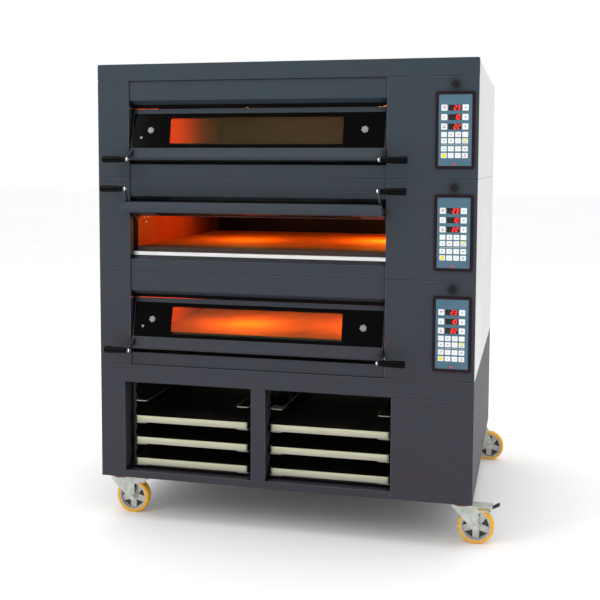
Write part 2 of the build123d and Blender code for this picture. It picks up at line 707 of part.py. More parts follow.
with BuildPart() as faces:
    # Membrane keypads: two keys beside each of three display windows, then a grid of sixteen.
    for z in deck_floors:
        middle_z = z + keypad_up
        with BuildSketch(facing(front - 0.2)):
            with Locations((keypad_x, middle_z)):
                Rectangle(face_size[0] - 0.6, face_size[1] - 0.6)
        extrude(amount=2)
        with BuildSketch(facing(front - 2.2)):
            for row in display_rows:
                for column in (key_columns[0], key_columns[-1]):
                    with Locations((keypad_x + column, middle_z + row)):
                        RectangleRounded(key_size[0] + 1, key_size[1] + 3, radius=1.5)
            for row in key_rows:
                for column in key_columns:
                    with Locations((keypad_x + column, middle_z + row)):
                        RectangleRounded(*key_size, radius=1.5)
        extrude(amount=0.6)
        with BuildSketch(facing(front - 2.3)):
            for row in display_rows:
                with Locations((keypad_x + (key_columns[0] + key_columns[-1]) / 2, middle_z + row)):
                    Rectangle(*display_size)
        extrude(amount=-1, mode=Mode.SUBTRACT)
save(faces.part, "keypad_faces")

with BuildPart() as control_units:
    # Board housings behind the keypads.
    for z in deck_floors:
        block((keypad_x - 50, keypad_x + 50), (front + sheet + 1, front + 52),
              (z + keypad_up - 112, z + keypad_up + 112))
save(control_units.part, "control_units")

with BuildPart() as glands:
    # Cable glands in the deck backs: hexagon body, lock nut inside and a hollow dome nut.
    for z in deck_floors:
        start = (keypad_x, rear - sheet - 12, z + gland_up)
        rod(start, (0, 1, 0), gland_radius, 40)
        for gland_y, size, length in ((rear - sheet - 6, 17, 5.5), (rear + 0.3, 18, 7)):
            with BuildSketch(Plane(origin=(keypad_x, gland_y, z + gland_up), z_dir=(0, 1, 0))):
                RegularPolygon(size, 6)
            extrude(amount=length)
        rod((keypad_x, rear + 6, z + gland_up), (0, 1, 0), gland_radius + 3, 22)
        rod((start[0], start[1] - 1, start[2]), (0, 1, 0), gland_bore, 60, Mode.SUBTRACT)
save(glands.part, "cable_glands")

# ======================= Doors =======================


def door_plane(x, z, angle):
    """The sketch plane of a door's side outline: origin on the hinge axis, u to the rear, v up."""
    turn = radians(angle)
    return Plane(origin=(x, hinge_y, z + hinge_up), x_dir=(0, cos(turn), -sin(turn)), z_dir=(1, 0, 0))


def door_bar(points, x, z, angle, mode=Mode.ADD):
    """A bar along X with its outline given about the hinge axis."""
    with BuildSketch(door_plane(x[0], z, angle)) as outline:
        Polygon(*points, align=None)
    extrude(outline.sketch, amount=x[1] - x[0], mode=mode)


pane_length = hypot(glass_foot[0] - glass_top[0], glass_foot[1] - glass_top[1])
pane_down = ((glass_foot[0] - glass_top[0]) / pane_length, (glass_foot[1] - glass_top[1]) / pane_length)
pane_in = (-pane_down[1], pane_down[0])


def pane_strip(spans, depths):
    """A strip along the door's front slope: spans from its top edge, depths inwards."""
    a, b = (moved(glass_top, pane_down, s) for s in spans)
    return [moved(a, pane_in, depths[0]), moved(b, pane_in, depths[0]),
            moved(b, pane_in, depths[1]), moved(a, pane_in, depths[1])]


def skin_strip(shares, depths):
    """A strip along the door's inner slope: shares of its length, depths towards the front."""
    length = hypot(skin_foot[0] - skin_top[0], skin_foot[1] - skin_top[1])
    along = ((skin_foot[0] - skin_top[0]) / length, (skin_foot[1] - skin_top[1]) / length)
    ahead = (along[1], -along[0])
    a, b = (between(skin_top, skin_foot, s) for s in shares)
    return [moved(a, ahead, depths[0]), moved(b, ahead, depths[0]),
            moved(b, ahead, depths[1]), moved(a, ahead, depths[1])]


def arm_outline(step):
    """The handle arm's flat bar, from inside the rail to the grip's axis."""
    root = (-56, -100)
    length = hypot(grip_axis[0] - root[0], grip_axis[1] - root[1])
    across = (-(grip_axis[1] - root[1]) / length * step, (grip_axis[0] - root[0]) / length * step)
    return [(root[0] - across[0], root[1] - across[1]), (grip_axis[0] - across[0], grip_axis[1] - across[1]),
            (grip_axis[0] + across[0], grip_axis[1] + across[1]), (root[0] + across[0], root[1] + across[1])]


def arm_places():
    """Each handle arm's X range, and the direction in which its grip points."""
    first = door_x[0] + arm_insets[0]
    last = door_x[1] - arm_insets[1]
    return (((first, first + arm_thick), -1), ((last - arm_thick, last), 1))


def door_frame(z, angle):
    """Lower rail, end cheeks with hinge lugs and pins, roof, inner skin with its window, and handle arms."""
    inside = (door_x[0] + cheek, door_x[1] - cheek)
    rail = [glass_foot, rail_nose, rail_lip, rail_belly, rail_heel, skin_foot]
    outline = [roof_front, glass_top, *rail, *hinge_lug, skin_top, roof_rear]
    with BuildPart() as frame:
        for x, out in (((door_x[0], inside[0]), -1), ((inside[1], door_x[1]), 1)):
            door_bar(outline, x, z, angle)
            rod((x[0] if out < 0 else x[1], hinge_y, z + hinge_up), (out, 0, 0), pin_radius,
                pin_length)
        with BuildSketch(door_plane(inside[0], z, angle)):
            Polygon(*rail, align=None)
            offset(amount=-sheet, kind=Kind.INTERSECTION, mode=Mode.SUBTRACT)
        extrude(amount=inside[1] - inside[0])
        folds = ((glass_top, (1, 0)), (roof_front, (1, -1.1)), (roof_rear, (-1, -0.9)),
                 (skin_top, (-1, -0.2)), (skin_foot, (-1, 0)))
        outer_side = [point for point, _ in folds]
        inner_side = [moved(point, step, sheet) for point, step in folds]
        door_bar([*outer_side, *reversed(inner_side)], inside, z, angle)
        door_bar(skin_strip((0.14, 0.86), (-3, 6)), (window_x[0] - 60, window_x[1] + 60), z, angle,
                 Mode.SUBTRACT)
        for x, out in arm_places():
            door_bar(arm_outline(8), x, z, angle)
            with BuildSketch(door_plane(x[0], z, angle)):
                with Locations(grip_axis):
                    Circle(8.5)
            extrude(amount=arm_thick)
    return frame.part


def door_panel(z, angle):
    """The black front sheet with its window, two hexagon bolts and one small screw."""
    inside = (door_x[0] + cheek + 0.5, door_x[1] - cheek - 0.5)
    with BuildPart() as front_sheet:
        door_bar(pane_strip((1, pane_length - 1.5), (0, 3)), inside, z, angle)
        window = [share * pane_length for share in window_span]
        door_bar(pane_strip(window, (-1, 4)), window_x, z, angle, Mode.SUBTRACT)
        for bolt_x, share, size, sides in ((left + 195, 0.49, 11, 6), (left + 969, 0.49, 12, 6),
                                           (left + 160, 0.7, 4.5, 24)):
            seat = moved(between(glass_top, glass_foot, share), pane_in, -0.1)
            plane = door_plane(bolt_x, z, angle)
            origin = plane.from_local_coords((*seat, 0))
            outward = origin - plane.from_local_coords((*moved(seat, pane_in, 1), 0))
            with BuildSketch(Plane(origin=origin, x_dir=(1, 0, 0), z_dir=outward)):
                RegularPolygon(size, sides)
            extrude(amount=5 if sides == 6 else 2.5)
    return front_sheet.part


def door_glass(z, angle):
    """Outer pane behind the black sheet and inner pane behind the inner skin."""
    x = (window_x[0] - 40, window_x[1] + 40)
    with BuildPart() as glass:
        door_bar(pane_strip((pane_length * 0.05, pane_length * 0.95), (3.2, 7.2)), x, z, angle)
        door_bar(skin_strip((0.1, 0.9), (sheet + 0.2, sheet + 4)), (window_x[0] - 70, window_x[1] + 70),
                 z, angle)
    return glass.part


def door_grips(z, angle):
    """Two tapered grips that point outwards from the arms, and the round bolt heads inside them."""
    with BuildPart() as grips:
        for (near, far), out in arm_places():
            start = near if out < 0 else far
            bolt = far if out < 0 else near
            for x, radius in ((start + out * 0.2, grip_radii[0]), (start + out * grip_length, grip_radii[1])):
                with BuildSketch(door_plane(x, z, angle)):
                    with Locations(grip_axis):
                        Circle(radius)
            loft()
            end = grips.edges().filter_by(GeomType.CIRCLE).sort_by(Axis.X)
            fillet(end[0] if out < 0 else end[-1], radius=3)
            with BuildSketch(door_plane(bolt - out * 0.2, z, angle)):
                with Locations(grip_axis):
                    Circle(7.5)
            extrude(amount=-out * 5)
    return grips.part


for name, z in zip(deck_names, deck_floors):
    rest_angle = door_open_angle if name == "middle" else 0
    save(door_frame(z, rest_angle), f"{name}_door_frame")
    save(door_panel(z, rest_angle), f"{name}_door_panel")
    save(door_glass(z, rest_angle), f"{name}_door_glass")
    save(door_grips(z, rest_angle), f"{name}_door_grips")
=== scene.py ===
import json
import math

import bmesh
import bpy
from mathutils import Matrix, Vector


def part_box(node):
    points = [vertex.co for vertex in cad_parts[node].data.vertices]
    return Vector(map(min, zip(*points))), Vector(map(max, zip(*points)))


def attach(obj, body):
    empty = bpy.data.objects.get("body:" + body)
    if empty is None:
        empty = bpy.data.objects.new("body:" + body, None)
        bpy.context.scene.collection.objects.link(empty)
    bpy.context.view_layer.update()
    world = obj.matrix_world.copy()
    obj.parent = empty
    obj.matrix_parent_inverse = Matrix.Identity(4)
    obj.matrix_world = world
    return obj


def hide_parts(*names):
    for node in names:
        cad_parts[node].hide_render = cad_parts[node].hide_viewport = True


# Looks of the three-deck oven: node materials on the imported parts, and finer pieces where the eye goes.
# Everything is in metres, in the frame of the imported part.

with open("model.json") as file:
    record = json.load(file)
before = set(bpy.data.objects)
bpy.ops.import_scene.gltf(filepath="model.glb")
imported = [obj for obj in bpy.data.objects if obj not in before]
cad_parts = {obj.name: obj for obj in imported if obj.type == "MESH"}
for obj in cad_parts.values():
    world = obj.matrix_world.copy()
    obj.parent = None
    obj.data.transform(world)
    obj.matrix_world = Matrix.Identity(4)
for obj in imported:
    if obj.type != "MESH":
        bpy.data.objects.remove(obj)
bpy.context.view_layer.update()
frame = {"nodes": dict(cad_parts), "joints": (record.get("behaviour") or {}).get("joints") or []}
joints = {joint["name"]: joint for joint in frame["joints"]}
decks = ("bottom", "middle", "top")
deck_pitch = 0.34

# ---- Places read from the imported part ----
bezel_low, bezel_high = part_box("keypad_bezels")
front_y = bezel_high.y
keypad_x = (bezel_low.x + bezel_high.x) / 2
keypad_half_height = 0.126
keypad_z = [bezel_low.z + keypad_half_height + i * deck_pitch for i in range(len(decks))]
key_top_y, face_top_y, window_y = front_y - 0.0028, front_y - 0.0022, front_y - 0.0013
floor_margin = 0.0005  # keeps each deck's floor clear of the height at which the next deck's count starts
deck_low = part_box("deck_shells")[0].z - floor_margin
threshold_top = 0.072  # above a deck's floor
body_low, body_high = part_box("rear_panels")
rear_y = body_high.y
liner_low, liner_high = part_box("chamber_liners")
hearth_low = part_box("hearth_stones")[0]
bare_above = 0.43  # height from which the inner face of the back sheet is bare metal


# ======================= Material tools =======================

class Surface:
    """A node material being built: a Principled shader fed from object coordinates."""

    def __init__(self, name, roughness=0.5, metallic=0.0, **sockets):
        self.material = bpy.data.materials.new(name)
        self.material.use_nodes = True
        self.tree = self.material.node_tree
        self.shader = self.tree.nodes["Principled BSDF"]
        self.shader.inputs["Roughness"].default_value = roughness
        self.shader.inputs["Metallic"].default_value = metallic
        for socket, value in sockets.items():
            self.shader.inputs[socket.replace("_", " ")].default_value = value
        self.place = self.add("ShaderNodeTexCoord").outputs["Object"]

    def add(self, kind):
        return self.tree.nodes.new(kind)

    def link(self, output, target):
        self.tree.links.new(output, target)

    def noise(self, scale, detail=3.0, stretch=(1, 1, 1), rough=0.5):
        """Noise at scale per metre, drawn out along an axis where stretch is below one."""
        mapping = self.add("ShaderNodeMapping")
        mapping.inputs["Scale"].default_value = stretch
        self.link(self.place, mapping.inputs["Vector"])
        texture = self.add("ShaderNodeTexNoise")
        texture.inputs["Scale"].default_value = scale
        texture.inputs["Detail"].default_value = detail
        texture.inputs["Roughness"].default_value = rough
        self.link(mapping.outputs["Vector"], texture.inputs["Vector"])
        return texture.outputs["Fac"]

    def ramp(self, value, *stops):
        """Colours between (position, (r, g, b)) stops."""
        ramp = self.add("ShaderNodeValToRGB")
        elements = ramp.color_ramp.elements
        while len(elements) < len(stops):
            elements.new(0.5)
        for element, (position, colour) in zip(elements, stops):
            element.position = position
            element.color = (*colour, 1)
        self.link(value, ramp.inputs["Fac"])
        return ramp.outputs["Color"]

    def tones(self, value, dark, light):
        """Two tones over the middle of a noise's range."""
        return self.ramp(value, (0.3, dark), (0.7, light))

    def spread(self, value, low, high, source=(0.3, 0.7)):
        """A value rescaled from its source range to low and high."""
        rescale = self.add("ShaderNodeMapRange")
        rescale.inputs["From Min"].default_value, rescale.inputs["From Max"].default_value = source
        rescale.inputs["To Min"].default_value, rescale.inputs["To Max"].default_value = low, high
        self.link(value, rescale.inputs["Value"])
        return rescale.outputs["Result"]

    def along(self, axis):
        """The coordinate along one axis, in metres."""
        split = self.add("ShaderNodeSeparateXYZ")
        self.link(self.place, split.inputs["Vector"])
        return split.outputs[axis]

    def compute(self, operation, first, second):
        """The result of a Math node; second is an output or a number."""
        node = self.add("ShaderNodeMath")
        node.operation = operation
        self.link(first, node.inputs[0])
        if isinstance(second, float):
            node.inputs[1].default_value = second
        else:
            self.link(second, node.inputs[1])
        return node.outputs[0]

    def above_deck_floor(self):
        """Height above the floor of the deck that the point is in."""
        return self.compute("MODULO", self.compute("SUBTRACT", self.along("Z"), deck_low), deck_pitch)

    def mix(self, mask, first, second):
        """First colour where the mask is 0, second where it is 1. Each is a colour or an output."""
        mixer = self.add("ShaderNodeMix")
        mixer.data_type = "RGBA"
        self.link(mask, mixer.inputs["Factor"])
        for socket, colour in ((mixer.inputs[6], first), (mixer.inputs[7], second)):
            if isinstance(colour, tuple):
                socket.default_value = (*colour, 1)
            else:
                self.link(colour, socket)
        return mixer.outputs[2]

    def edge_light_masks(self, radius):
        """Masks for painted light from how far a rounded edge turns the surface: painted highlight on upper and
        upright edges, and painted shade on lower ones.
        """
        bevel = self.add("ShaderNodeBevel")
        bevel.samples = 6
        bevel.inputs["Radius"].default_value = radius
        turn = self.add("ShaderNodeVectorMath")
        turn.operation = "SUBTRACT"
        self.link(bevel.outputs["Normal"], turn.inputs[0])
        self.link(self.add("ShaderNodeNewGeometry").outputs["Normal"], turn.inputs[1])
        size = self.add("ShaderNodeVectorMath")
        size.operation = "LENGTH"
        self.link(turn.outputs["Vector"], size.inputs[0])
        split = self.add("ShaderNodeSeparateXYZ")
        self.link(turn.outputs["Vector"], split.inputs["Vector"])
        turned = self.spread(size.outputs["Value"], 0, 1, (0.1, 0.5))
        not_down = self.spread(split.outputs["Z"], 0, 1, (-0.2, 0.0))
        lower = self.spread(split.outputs["Z"], 1, 0, (-0.3, -0.1))
        return self.compute("MULTIPLY", turned, not_down), lower

    def recess(self, distance):
        """A mask for painted shade: 0 deep in a recess and 1 in the open."""
        occlusion = self.add("ShaderNodeAmbientOcclusion")
        occlusion.samples = 8
        occlusion.inputs["Distance"].default_value = distance
        return self.spread(occlusion.outputs["AO"], 0, 1, (0.48, 0.96))

    def colour(self, output):
        self.link(output, self.shader.inputs["Base Color"])

    def roughness(self, output):
        self.link(output, self.shader.inputs["Roughness"])

    def bump(self, height, strength, distance, edge=0.0):
        """Bump from a height; edge is the radius that sharp edges are shaded with."""
        bump = self.add("ShaderNodeBump")
        bump.inputs["Strength"].default_value = strength
        bump.inputs["Distance"].default_value = distance
        self.link(height, bump.inputs["Height"])
        if edge:
            bevel = self.add("ShaderNodeBevel")
            bevel.samples = 4
            bevel.inputs["Radius"].default_value = edge
            self.link(bevel.outputs["Normal"], bump.inputs["Normal"])
        self.link(bump.outputs["Normal"], self.shader.inputs["Normal"])


# ======================= Materials =======================

def slate_paint():
    """Fine-textured slate powder coat: teal towards the hood, plum towards the floor, with a painted highlight
    on its upper edges, painted shade on its lower edges and painted shade in recesses.
    """
    s = Surface("slate_powder_coat", Specular_IOR_Level=0.25)
    mottle = s.noise(22, 4, rough=0.6)
    teal = s.ramp(mottle, (0.32, (0.030, 0.036, 0.047)), (0.68, (0.021, 0.042, 0.055)))
    plum = s.ramp(mottle, (0.32, (0.035, 0.023, 0.034)), (0.68, (0.026, 0.028, 0.038)))
    drift = s.mix(s.spread(s.along("Z"), 0, 1, (0.25, 1.45)), plum, teal)
    grain = s.noise(420, 2)
    flecked = s.mix(s.spread(grain, 0.0, 0.3), drift, (0.052, 0.059, 0.071))
    # painted highlight along upper edges and painted shade along lower edges
    upper, lower = s.edge_light_masks(0.002)
    edged = s.mix(lower, s.mix(upper, flecked, (0.170, 0.188, 0.210)), (0.004, 0.004, 0.005))
    # painted shade: near-black deep in recesses and crevices
    s.colour(s.mix(s.recess(0.03), (0.0015, 0.001, 0.0015), edged))
    s.roughness(s.spread(s.noise(60, 3), 0.46, 0.58))
    s.bump(grain, 0.16, 0.0006, edge=0.0015)
    return s.material


def pale_sheet():
    """Pale satin steel sheet with a faint vertical grain."""
    s = Surface("pale_satin_sheet", Specular_IOR_Level=0.5)
    grain = s.noise(240, 4, stretch=(1, 1, 0.03))
    cloud = s.noise(2.5, 2)
    s.colour(s.tones(cloud, (0.62, 0.63, 0.62), (0.70, 0.705, 0.70)))
    s.roughness(s.spread(grain, 0.34, 0.48))
    s.bump(grain, 0.05, 0.0004, edge=0.0012)
    return s.material


def rear_sheet():
    """Pale outside, dark inside where the stand's racks look onto it, and bare metal above them."""
    s = Surface("rear_sheet", Specular_IOR_Level=0.4)
    outside = s.spread(s.along("Y"), 0, 1, (rear_y - 0.0012, rear_y - 0.0008))
    outer = s.tones(s.noise(3, 2), (0.60, 0.61, 0.60), (0.68, 0.685, 0.68))
    bare = s.spread(s.along("Z"), 0, 1, (bare_above, bare_above + 0.005))
    inner = s.mix(bare, (0.010, 0.010, 0.009), (0.72, 0.72, 0.58))
    s.colour(s.mix(outside, inner, outer))
    grain = s.noise(220, 3, stretch=(1, 1, 0.05))
    s.roughness(s.spread(grain, 0.38, 0.52))
    s.bump(grain, 0.06, 0.0004)
    return s.material


def brushed(name, tone, low, high, stretch=(0.04, 1, 1), scale=300, metallic=1.0):
    """Brushed metal: tone is its colour, low and high its roughness range."""
    s = Surface(name, metallic=metallic)
    grain = s.noise(scale, 4, stretch=stretch)
    s.colour(s.mix(s.spread(grain, 0, 1), tuple(c * 0.86 for c in tone), tone))
    s.roughness(s.spread(grain, low, high))
    s.bump(grain, 0.07, 0.0003, edge=0.0006)
    return s.material


def mouth_steel():
    """Bright brushed threshold; the surround above it is near-black, with heat soot and painted shade."""
    s = Surface("mouth_steel", Specular_IOR_Level=0.04)
    grain = s.noise(300, 4, stretch=(0.04, 1, 1))
    # near-black surround: heat soot with painted shade in the gap above the door
    soot_and_shade = s.tones(s.noise(14, 4), (0.0012, 0.001, 0.001), (0.004, 0.003, 0.0025))
    bright = s.mix(s.spread(grain, 0, 1), (0.74, 0.74, 0.73), (0.90, 0.90, 0.89))
    raised = s.spread(s.above_deck_floor(), 0, 1, (threshold_top - 0.0005, threshold_top + 0.0005))
    s.colour(s.mix(raised, bright, soot_and_shade))
    s.link(s.spread(raised, 0.8, 0.1, (0, 1)), s.shader.inputs["Metallic"])
    s.roughness(s.spread(grain, 0.24, 0.40))
    s.bump(grain, 0.07, 0.0003, edge=0.0006)
    return s.material


def chamber_steel():
    """Liner painted with lamp light: orange lamp glow painted on the side walls, fading to painted shade
    towards the back, and a near-black back wall and roof.
    """
    s = Surface("liner_painted_glow", metallic=0.05, Specular_IOR_Level=0.1)
    wall_from, wall_to = 0.003, 0.012
    fade_from, fade_to = 0.15, 0.80
    left_wall = s.spread(s.along("X"), 1, 0, (liner_low.x + wall_from, liner_low.x + wall_to))
    right_wall = s.spread(s.along("X"), 0, 1, (liner_high.x - wall_to, liner_high.x - wall_from))
    # the orange of the lamps' glow, painted on the side walls
    painted_lamp_glow = s.tones(s.noise(6, 4, stretch=(1, 1, 0.4)), (0.52, 0.085, 0.008), (0.68, 0.140, 0.016))
    # painted falloff of the lamp light towards the back
    depth = s.spread(s.along("Y"), 0, 1, (liner_low.y + fade_from, liner_low.y + fade_to))
    glow_fading_to_shade = s.mix(depth, painted_lamp_glow, (0.070, 0.022, 0.005))
    near_black = (0.003, 0.002, 0.0015)
    s.colour(s.mix(right_wall, s.mix(left_wall, near_black, glow_fading_to_shade), glow_fading_to_shade))
    s.roughness(s.spread(s.noise(30, 3), 0.42, 0.62))
    s.bump(s.noise(160, 3, stretch=(1, 0.1, 1)), 0.08, 0.0005)
    return s.material


def refractory():
    """Granular fireclay slab with darker baked-in marks: warm orange from its own colour and painted lamp glow,
    with painted shade by the mouth.
    """
    s = Surface("refractory_slab", Specular_IOR_Level=0.2)
    grain = s.noise(300, 5, rough=0.7)
    # the fireclay's own warm tone with painted orange lamp glow
    clay_and_painted_glow = s.tones(grain, (0.58, 0.170, 0.016), (0.80, 0.280, 0.040))
    marks = s.spread(s.noise(9, 4), 0, 0.45, (0.55, 0.8))
    worn = s.mix(marks, clay_and_painted_glow, (0.16, 0.05, 0.010))
    # painted shade near the mouth
    mouth = s.spread(s.along("Y"), 1, 0, (hearth_low.y + 0.02, hearth_low.y + 0.16))
    s.colour(s.mix(mouth, worn, (0.075, 0.050, 0.042)))
    s.roughness(s.spread(grain, 0.75, 0.95))
    s.bump(grain, 0.35, 0.0012, edge=0.002)
    return s.material


def black_enamel(name="black_enamel", base=(0.0015, 0.0015, 0.0016), roughness=(0.08, 0.16), shine=0.03):
    """Deep glossy black with a slight ripple and dust."""
    s = Surface(name, Specular_IOR_Level=shine)
    dust = s.noise(120, 5, rough=0.7)
    s.colour(s.mix(s.spread(dust, 0, 0.25, (0.5, 0.8)), base, (0.006, 0.005, 0.006)))
    s.roughness(s.spread(s.noise(40, 3), *roughness))
    s.bump(s.noise(25, 2), 0.03, 0.001, edge=0.0006)
    return s.material


def tinted_pane():
    """Heat-reflecting pane: clear enough to show the chamber, with an olive cast."""
    s = Surface("tinted_pane", Specular_IOR_Level=0.05, Alpha=0.15)
    s.colour(s.tones(s.noise(3, 2), (0.080, 0.062, 0.026), (0.100, 0.080, 0.036)))
    s.roughness(s.spread(s.noise(14, 3), 0.03, 0.08))
    return s.material


def keypad_face():
    """Steel-blue membrane with white raised keys and black sunk display windows."""
    s = Surface("keypad_membrane", Specular_IOR_Level=0.2)
    depth = s.along("Y")
    grain = s.noise(900, 2)
    blue = s.tones(s.noise(12, 3), (0.066, 0.138, 0.194), (0.082, 0.166, 0.230))
    is_key = s.spread(depth, 1, 0, (key_top_y + 0.0002, face_top_y - 0.0001))
    is_sunk = s.spread(depth, 0, 1, (face_top_y + 0.0001, face_top_y + 0.0004))
    keyed = s.mix(is_key, blue, (0.80, 0.83, 0.84))
    s.colour(s.mix(is_sunk, keyed, (0.006, 0.003, 0.003)))
    s.roughness(s.spread(grain, 0.34, 0.44))
    s.bump(grain, 0.10, 0.0002, edge=0.0004)
    return s.material


def maroon_bezel():
    """Near-black maroon plastic."""
    s = Surface("keypad_bezel", Specular_IOR_Level=0.12)
    grain = s.noise(500, 2)
    s.colour(s.tones(grain, (0.012, 0.004, 0.007), (0.022, 0.009, 0.013)))
    s.roughness(s.spread(grain, 0.22, 0.34))
    s.bump(grain, 0.08, 0.0002, edge=0.001)
    return s.material


def damper_finish():
    """Black pull knob, bright rod and slide behind the panel."""
    s = Surface("damper_knob", Specular_IOR_Level=0.15)
    behind = s.spread(s.along("Y"), 0, 1, (front_y + 0.004, front_y + 0.0045))
    grain = s.noise(300, 3)
    s.colour(s.mix(behind, (0.012, 0.008, 0.009), (0.45, 0.44, 0.42)))
    s.link(behind, s.shader.inputs["Metallic"])
    s.roughness(s.spread(grain, 0.26, 0.38))
    s.bump(grain, 0.08, 0.0003, edge=0.0008)
    return s.material


def tray_finish(low, high):
    """Pressed aluminium, bare on the front and rear ends with painted shade lower down on them, under a dark
    baked-on coat.
    """
    s = Surface("baking_tray", metallic=0.4, Specular_IOR_Level=0.3)
    scratch = s.noise(260, 3, stretch=(0.05, 1, 1))
    ends = s.tones(scratch, (0.46, 0.46, 0.31), (0.62, 0.62, 0.45))
    # painted shade on the lower part of the ends
    shaded = s.spread(s.along("Z"), 0.75, 0, (low.z, high.z - 0.006))
    ends = s.mix(shaded, ends, (0.30, 0.27, 0.26))
    past_front = s.spread(s.along("Y"), 0, 1, (low.y + 0.0030, low.y + 0.0040))
    before_rear = s.spread(s.along("Y"), 1, 0, (high.y - 0.0040, high.y - 0.0030))
    baked = s.tones(s.noise(18, 4), (0.010, 0.009, 0.007), (0.040, 0.036, 0.028))
    s.colour(s.mix(s.compute("MULTIPLY", past_front, before_rear), ends, baked))
    s.roughness(s.spread(scratch, 0.36, 0.55))
    s.bump(scratch, 0.08, 0.0003, edge=0.001)
    return s.material


def zinc_fork():
    """Grey-green passivated zinc with soft spangles."""
    s = Surface("zinc_passivate", metallic=0.35, Specular_IOR_Level=0.5)
    spangle = s.noise(70, 3)
    s.colour(s.tones(spangle, (0.42, 0.45, 0.40), (0.62, 0.65, 0.60)))
    s.roughness(s.spread(s.noise(200, 3), 0.32, 0.46))
    s.bump(spangle, 0.06, 0.0005, edge=0.0012)
    return s.material


def cast_hub():
    """Sand-grained cast aluminium."""
    s = Surface("cast_aluminium", metallic=0.75)
    grain = s.noise(260, 4)
    s.colour(s.tones(grain, (0.40, 0.39, 0.37), (0.62, 0.61, 0.58)))
    s.roughness(s.spread(grain, 0.34, 0.50))
    s.bump(grain, 0.18, 0.0005, edge=0.0012)
    return s.material


def amber_tread():
    """Amber polyurethane, scuffed duller on the running face."""
    s = Surface("amber_polyurethane", Subsurface_Weight=0.12, Subsurface_Scale=0.004)
    scuff = s.noise(90, 5, rough=0.65)
    s.colour(s.tones(scuff, (0.74, 0.33, 0.006), (0.95, 0.52, 0.012)))
    s.roughness(s.spread(scuff, 0.28, 0.46))
    s.bump(scuff, 0.12, 0.0005, edge=0.001)
    return s.material


def screw_finish():
    """Dark screws in the casing, and domes on the chamber's left wall painted bright and warm as the lamp's
    glint.
    """
    s = Surface("screws", Specular_IOR_Level=0.3)
    grain = s.noise(400, 3)
    # the domes on the chamber's left wall carry a painted warm glint of the lamp
    past_wall = s.spread(s.along("X"), 0, 1, (liner_low.x, liner_low.x + 0.0005))
    before_room = s.spread(s.along("X"), 1, 0, (liner_low.x + 0.010, liner_low.x + 0.011))
    s.colour(s.mix(s.compute("MULTIPLY", past_wall, before_room), (0.020, 0.018, 0.016), (0.85, 0.62, 0.45)))
    s.roughness(s.spread(grain, 0.28, 0.42))
    s.bump(grain, 0.10, 0.0003, edge=0.0008)
    return s.material


def plain_grained(name, dark, light, roughness, scale=260, strength=0.12, metallic=0.0):
    """A small part's finish: two close tones of grain, with matching roughness and bump."""
    s = Surface(name, metallic=metallic)
    grain = s.noise(scale, 4)
    s.colour(s.tones(grain, dark, light))
    s.roughness(s.spread(grain, *roughness))
    s.bump(grain, strength, 0.0004, edge=0.0006)
    return s.material


def glow(name, colour, strength):
    """A lit surface: the colour, light of its own in the same colour, and faint unevenness."""
    s = Surface(name, roughness=0.35, Emission_Strength=strength)
    tone = s.tones(s.noise(900, 2), tuple(c * 0.85 for c in colour), colour)
    s.colour(tone)
    s.link(tone, s.shader.inputs["Emission Color"])
    return s.material


slate = slate_paint()
pale = pale_sheet()
zinc = zinc_fork()

finishes = {
    "stand_frame": plain_grained("dark_tube_paint", (0.020, 0.020, 0.022), (0.034, 0.034, 0.037),
                                 (0.4, 0.55)),
    "stand_front_panels": slate,
    "stand_panels": slate,
    "rear_panels": rear_sheet(),
    "rack_uprights": plain_grained("rack_steel", (0.028, 0.028, 0.028), (0.060, 0.060, 0.058), (0.3, 0.5),
                                   metallic=0.6),
    "rack_ledges": plain_grained("ledge_wire", (0.20, 0.19, 0.16), (0.36, 0.34, 0.29), (0.28, 0.42),
                                 metallic=0.8),
    "caster_plates": zinc,
    "caster_seal_rings": plain_grained("red_seal", (0.42, 0.035, 0.012), (0.62, 0.065, 0.020),
                                       (0.4, 0.55)),
    "caster_front_right_pedal": plain_grained("black_pedal", (0.012, 0.012, 0.012), (0.035, 0.035, 0.033),
                                              (0.35, 0.5)),
    "deck_front_frames": slate,
    "control_panels": slate,
    "deck_shells": pale,
    "casing_screws": screw_finish(),
    "hood_fascia": slate,
    "hood_cover": pale,
    "mouth_frames": mouth_steel(),
    "chamber_liners": chamber_steel(),
    "hearth_stones": refractory(),
    "chamber_insulation": plain_grained("mineral_wool", (0.34, 0.27, 0.12), (0.58, 0.48, 0.24), (0.9, 1.0),
                                        scale=120, strength=0.6),
    "heating_elements": plain_grained("oxidised_tube", (0.05, 0.028, 0.020), (0.12, 0.07, 0.05), (0.5, 0.7),
                                      metallic=0.4),
    "oven_lamps": glow("lamp_dome", (1.0, 0.55, 0.18), 2.0),
    "exhaust_ducts": brushed("duct_steel", (0.62, 0.62, 0.61), 0.28, 0.42, stretch=(1, 0.05, 1)),
    "keypad_bezels": maroon_bezel(),
    "keypad_faces": keypad_face(),
    "control_units": plain_grained("unit_box", (0.30, 0.31, 0.32), (0.42, 0.43, 0.44), (0.4, 0.5),
                                   metallic=0.5),
    "cable_glands": plain_grained("black_nylon", (0.010, 0.010, 0.010), (0.024, 0.024, 0.024),
                                  (0.4, 0.55)),
}
finishes_by_ending = {
    "_door_frame": slate,
    "_door_panel": black_enamel(),
    "_door_glass": tinted_pane(),
    "_damper_knob": damper_finish(),
    "_fork": zinc,
    "_hub": cast_hub(),
    "_tread": amber_tread(),
}


def paint(node, material):
    """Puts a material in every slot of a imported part."""
    for material_slot in frame["nodes"][node].material_slots:
        material_slot.material = material


for node in frame["nodes"]:
    if node in finishes:
        paint(node, finishes[node])
    elif node.startswith("tray_"):
        paint(node, tray_finish(*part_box(node)))
    for ending, material in finishes_by_ending.items():
        if node.endswith(ending):
            paint(node, material)


# ======================= Mesh tools =======================

crease_angle = math.radians(35)


